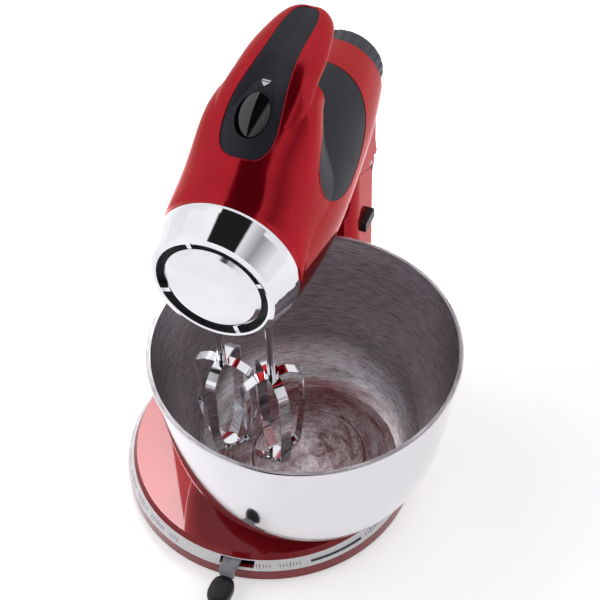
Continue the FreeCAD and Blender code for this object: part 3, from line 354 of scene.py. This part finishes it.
# White moulded plastic: warm, pale and half matt.
dress(plain("white ABS, moulded", "#D8D6D0", "#E4E2DC", 0.5),
      "gear_case", "motor_mount", "rear_bracket", "switch_mount", "cooling_fan", "eject_yoke")
# Moulded phenolic: plain black, half matt.
dress(plain("black phenolic, moulded", "#161618", "#202024", 0.5), "speed_switch")

# Head housing: two red mouldings that part low on the sides, the upper one rising into the open handle.
# The grip inlay and the saddle panel are dark pieces pressed into pits in the upper one.
dress(red, "upper_housing", "lower_housing")
# Soft-touch coating: a blue-grey near black that takes light as a dull haze.
soft = plain("dark grey ABS, soft-touch coated", "#191925", "#20202C", 0.48, specular=0.3, size_mm=14.0,
             bump_mm=0.006)
dress(soft, "handle_grip", "saddle_panel")


# Lips: the housing is raised a hair round both inlays, where its pits were moulded.
# The same red lacquer, in a bead that catches the light as a thin line.
def bead(name, path, closed, thickness, finish, body, sides=8):
    """A round bead along a path of points."""
    count = len(path)
    never_along = Vector((0.31, 0.17, 0.93))
    spots, faces = [], []
    for i, spot in enumerate(path):
        ahead, behind = (i + 1) % count, i - 1
        if not closed:
            ahead, behind = min(i + 1, count - 1), max(i - 1, 0)
        along = (path[ahead] - path[behind]).normalized()
        across = along.cross(never_along).normalized()
        over = along.cross(across)
        for k in range(sides):
            turn = 2 * math.pi * k / sides
            spots.append(spot + (across * math.cos(turn) + over * math.sin(turn)) * thickness)
    for i in range(count if closed else count - 1):
        for k in range(sides):
            j, m = (i + 1) % count, (k + 1) % sides
            faces.append((i * sides + k, j * sides + k, j * sides + m, i * sides + m))
    if not closed:
        faces += [tuple(range(sides)), tuple(reversed(range((count - 1) * sides, count * sides)))]
    mesh = bpy.data.meshes.new(name)
    mesh.from_pydata(spots, [], faces)
    mesh.shade_smooth()
    return new_piece(name, mesh, finish, body)


def skin(name):
    """A CAD piece's faces, for rays to meet."""
    mesh = cad[name].data
    return BVHTree.FromPolygons([v.co for v in mesh.vertices], [p.vertices for p in mesh.polygons])


def outer_edge(faces, middle, reach, toward, step=0.0004, far_off=0.3):
    """Comes in along reach to the middle, until a ray from far off meets the faces."""
    count = int(reach.length / step)
    for i in range(count):
        spot, _, _, _ = faces.ray_cast(middle + reach * (1 - i / count) - toward * far_off, toward)
        if spot:
            return spot
    return None


def smoothed(path, closed, times=3):
    """The path with its small steps taken out, and with its ends kept where it is open."""
    for _ in range(times):
        first, last = path[:1], path[-1:]
        path = [(path[i - 1] + path[i] * 2 + path[(i + 1) % len(path)]) / 4 for i in range(len(path))]
        if not closed:
            path = first + path[1:-1] + last
    return path


lip_half, lip_out = 0.00045, 0.0005
grip_skin, panel_skin = skin("handle_grip"), skin("saddle_panel")
grip_middle, grip_wide, grip_long, grip_points = Vector((0, 0.045, 0.33)), 0.030, 0.090, 180
down = Vector((0, 0, -1))
grip_edge = []
for i in range(grip_points):
    turn = 2 * math.pi * i / grip_points
    reach = Vector((grip_wide * math.cos(turn), grip_long * math.sin(turn), 0))
    grip_edge.append(outer_edge(grip_skin, grip_middle, reach, down) + reach.normalized() * lip_out)
grip_lip = bead("grip_lip", smoothed(grip_edge, True), True, lip_half, red, "head")
# The panel is a saddle, so each flank has an open lip that stops short of the middle.
panel_middle, panel_long, panel_high, panel_points = Vector((0, 0.066, 0.322)), 0.075, 0.048, 100
panel_from, panel_sweep, off_middle = 165, 210, 0.004
for side, lip_name in ((-1, "panel_lip_left"), (1, "panel_lip_right")):
    panel_edge = []
    for i in range(panel_points):
        turn = math.radians(panel_from + panel_sweep * i / (panel_points - 1))
        reach = Vector((0, panel_long * math.cos(turn), panel_high * math.sin(turn)))
        spot = outer_edge(panel_skin, panel_middle, reach, Vector((-side, 0, 0)))
        if spot and spot.x * side > off_middle:
            panel_edge.append(spot + reach.normalized() * lip_out)
    panel_lip = bead(lip_name, smoothed(panel_edge, False), False, lip_half, red, "head")

# Eject button and sign: a polished button that slides in the handle, and a triangle and bar behind it.
# The button is black plastic. The sign is pad-printed in white on the grip and follows its curve.
# Polished plastic: black, with small sharp highlights.
dress(plain("black ABS, polished", "#08080A", "#0E0E10", 0.1, coat=0.6), "eject_button")
# Printing ink: flat and white, so that the sign reads against the grip.
white_ink = plain("white ink, printed", "#E4E4E6", "#F0F0F2", 0.45, size_mm=2.0)
sign_y, sign_half, above_grip = 0.0305, 0.0030, 0.5
bar_near, bar_far = 0.0012, 0.0024
point_start, point_long, point_rows, point_tip = 0.0004, 0.0036, 6, 0.00005


def on_grip(x, y):
    """A point just off the grip's top."""
    spot, normal, _, _ = grip_skin.ray_cast(Vector((x, y, above_grip)), down)
    return spot + normal * print_lift


def printed_rows(rows, columns=4):
    """Small patches across the grip between rows of (y, half width)."""
    patches = []
    for (y_a, half_a), (y_b, half_b) in zip(rows, rows[1:]):
        for i in range(columns):
            left, right = 2 * i / columns - 1, 2 * (i + 1) / columns - 1
            patches.append([on_grip(half_a * left, y_a), on_grip(half_a * right, y_a),
                            on_grip(half_b * right, y_b), on_grip(half_b * left, y_b)])
    return patches


bar = printed_rows([(sign_y + bar_near, sign_half), (sign_y + bar_far, sign_half)])
point = printed_rows([(sign_y + point_start - point_long * i / point_rows,
                       sign_half * (1 - i / point_rows) + point_tip) for i in range(point_rows + 1)])
printed("eject_sign", bar + point, white_ink, "head")

# Nose: a flared ring, ribs across a dark air slot, and a plain domed medallion, on a frame in the head.
# Ring, ribs and medallion are plated plastic. The ring behind the slot is black.
# Bright chrome: a clear mirror of the room, nearly white or nearly black.
chrome = plain("chrome plating, bright", "#E6E6EA", "#EFEFF2", 0.035, metallic=1.0, size_mm=30.0)
dress(chrome, "front_bezel", "slot_ribs")
# Satin chrome: the same mirror, softened.
dress(plain("chrome plating, satin", "#E2E2E6", "#ECECF0", 0.12, metallic=1.0, size_mm=20.0),
      "front_medallion")
# Matt plastic: black and dull, so that the slot reads as a gap.
dress(plain("black ABS, matt", "#0C0C0D", "#151517", 0.6), "vent_ring", "nose_frame")

# Beaters: crossed flat steel loops on a stem, pushed up into the hollow spindles.
# Chromed steel. The left one carries a nylon button under its loops, to spare the bowl.
dress(zinc, "left_spindle", "right_spindle")
dress(chrome, "left_beater", "right_beater")
dress(nylon, "beater_tip")

# Speed dial: a ribbed knob pushed onto its shaft, at the rear end of the head.
# Dark grey moulded plastic: the fine texture leaves a soft line of light on each rib.
dress(plain("dark grey ABS, moulded", "#3C3B45", "#474650", 0.4, bump_mm=0.01), "speed_dial")

# Floor: a wide sheet of white paper that the mixer stands on.
# White paper: matt and even. A glow lifts it to white for the camera and in mirrors, and keeps the shadow.
floor_half, floor_drift_mm, floor_glow = 4, 200.0, 0.48
paper, tree, surface = shader("white paper", {"Roughness": 0.9, "Specular IOR Level": 0.1})
mottled(tree, surface, "#F3F2F4", "#F8F7F9", floor_drift_mm)
path = add(tree, "ShaderNodeLightPath", {})
mirrored = add(tree, "ShaderNodeMath", {
    0: path.outputs["Is Glossy Ray"], 1: path.outputs["Is Transmission Ray"]}, operation="MAXIMUM")
seen = add(tree, "ShaderNodeMath", {
    0: path.outputs["Is Camera Ray"], 1: mirrored.outputs["Value"]}, operation="MAXIMUM")
lift = add(tree, "ShaderNodeMath", {0: seen.outputs["Value"], 1: floor_glow}, operation="MULTIPLY")
glow = add(tree, "ShaderNodeEmission", {"Strength": lift.outputs["Value"]})
both = add(tree, "ShaderNodeAddShader", {0: surface.outputs["BSDF"], 1: glow.outputs["Emission"]})
tree.links.new(both.outputs["Shader"], tree.nodes["Material Output"].inputs["Surface"])
floor_mesh = bpy.data.meshes.new("floor")
floor_corners = [(x * floor_half, y * floor_half, 0) for x, y in ((-1, -1), (1, -1), (1, 1), (-1, 1))]
floor_mesh.from_pydata(floor_corners, [], [(0, 1, 2, 3)])
floor_mesh.materials.append(paper)
floor = bpy.data.objects.new("floor", floor_mesh)
scene.collection.objects.link(floor)

# Light tent: white cloth at the left, the right and the rear, lit from outside, with an opening overhead.
# Gloss shows the cloth as broad pale sheets, and the opening as one dark stripe along the head.
# Each level is the cloth's brightness at that many degrees from overhead, with the left as minus.
cloth_levels = ((-100, 1.0), (-21, 1.05), (-19, 0.015), (24, 0.015), (27, 0.9), (48, 0.35), (75, 0.88),
                (100, 0.95))
cloth_tint = (0.985, 0.98, 1.0)
rear_starts, rear_full, rear_cloth = math.radians(31), math.radians(33), (0.94, 0.93, 0.95, 1.0)
world = bpy.data.worlds.new("light tent")
scene.world = world
world.use_nodes = True
tree = world.node_tree
way = add(tree, "ShaderNodeTexCoord", {})
axes = add(tree, "ShaderNodeSeparateXYZ", {"Vector": way.outputs["Generated"]})
lean = add(tree, "ShaderNodeMath", {0: axes.outputs["X"], 1: axes.outputs["Z"]}, operation="ARCTAN2")
round_share = add(tree, "ShaderNodeMapRange", {
    "Value": lean.outputs["Value"], "From Min": -math.pi, "From Max": math.pi})
cloth = add(tree, "ShaderNodeValToRGB", {"Fac": round_share.outputs["Result"]})
stops = cloth.color_ramp.elements
for degrees, level in cloth_levels:
    stop = stops.new((degrees + 180) / 360)
    stop.color = (*(level * tint for tint in cloth_tint), 1.0)
stops.remove(stops[-1])
stops.remove(stops[0])
fall = add(tree, "ShaderNodeMath", {0: axes.outputs["Y"], 1: axes.outputs["Z"]}, operation="ARCTAN2")
behind = add(tree, "ShaderNodeMapRange", {
    "Value": fall.outputs["Value"], "From Min": rear_starts, "From Max": rear_full})
walls = add(tree, "ShaderNodeMix", {
    "Factor": behind.outputs["Result"], 6: cloth.outputs["Color"], 7: rear_cloth}, data_type="RGBA")
tree.links.new(walls.outputs[2], tree.nodes["Background"].inputs["Color"])

# Low left box: a small softbox with a grid, hung at the left rear and facing down.
# The top of the base mirrors it towards the camera.
box = bpy.data.lights.new("low left box", "AREA")
box.shape = "RECTANGLE"
box.size = 0.10
box.size_y = 0.34
box.energy = 1.1
box.spread = math.radians(100)
holder = bpy.data.objects.new("low left box", box)
scene.collection.objects.link(holder)
holder.location = (-0.347, 0.303, 0.6)
holder.rotation_euler = (0, 0, math.radians(32.3))

# Camera: a short telephoto lens on a stand at the front right, looking down at the head.
# It leans a little to one side, and the plain view transform leaves colours as they are lit.
azimuth, elevation, roll = math.radians(23.4), math.radians(47.6), math.radians(-2.3)
target, distance = Vector((0.0084, 0.0534, 0.146)), 1.1
focal_mm, sensor_mm = 83.96, 36
back = Vector((math.sin(azimuth) * math.cos(elevation),
               -math.cos(azimuth) * math.cos(elevation),
               math.sin(elevation)))
level_right = Vector((math.cos(azimuth), math.sin(azimuth), 0))
level_up = back.cross(level_right)
right = level_right * math.cos(roll) + level_up * math.sin(roll)
up = level_up * math.cos(roll) - level_right * math.sin(roll)
lens = bpy.data.cameras.new("camera")
lens.lens = focal_mm
lens.sensor_width = sensor_mm
camera = bpy.data.objects.new("camera", lens)
scene.collection.objects.link(camera)
turned = Matrix((right, up, back)).transposed().to_4x4()
camera.matrix_world = Matrix.Translation(target + back * distance) @ turned
scene.camera = camera
scene.view_settings.view_transform = "Standard"
